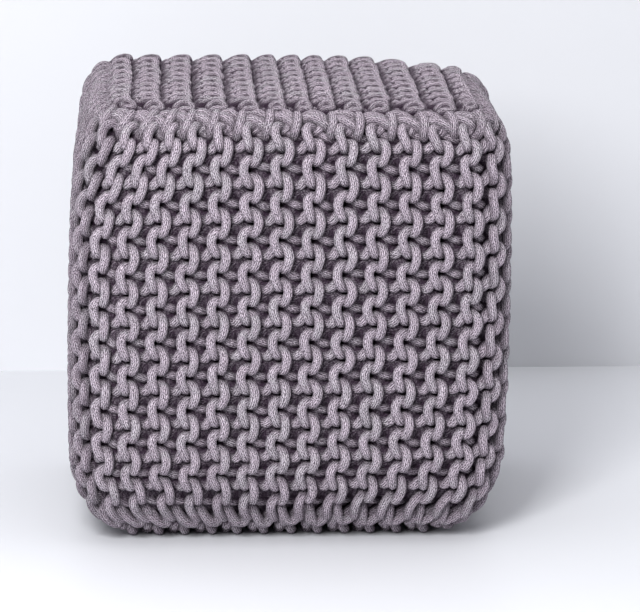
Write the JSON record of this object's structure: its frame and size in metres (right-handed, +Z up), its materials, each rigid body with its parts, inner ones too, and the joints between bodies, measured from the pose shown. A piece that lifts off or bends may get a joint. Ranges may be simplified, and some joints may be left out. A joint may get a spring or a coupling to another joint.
{
  "type": "knitted pouf",
  "caption": "Square knitted floor pouf: a ribbed side band of chunky garter stitch sewn to a ribbed top panel and a ribbed bottom panel, softly filled, with rounded edges.",
  "frame": {"origin": "centre of the footprint's box on the floor", "axes": "+Z up, front side face towards -Y, +X to the right seen from the front"},
  "size_m": [0.405, 0.4, 0.4089],
  "materials": {
    "band_cord": "matt cotton cord, lilac grey, knitted",
    "top_cord": "matt cotton cord, lilac grey, knitted",
    "bottom_cord": "matt cotton cord, lilac grey, knitted"
  },
  "bodies": {
    "root": {"side_band": "band_cord", "top_panel": "top_cord", "bottom_panel": "bottom_cord"}
  },
  "joints": []
}
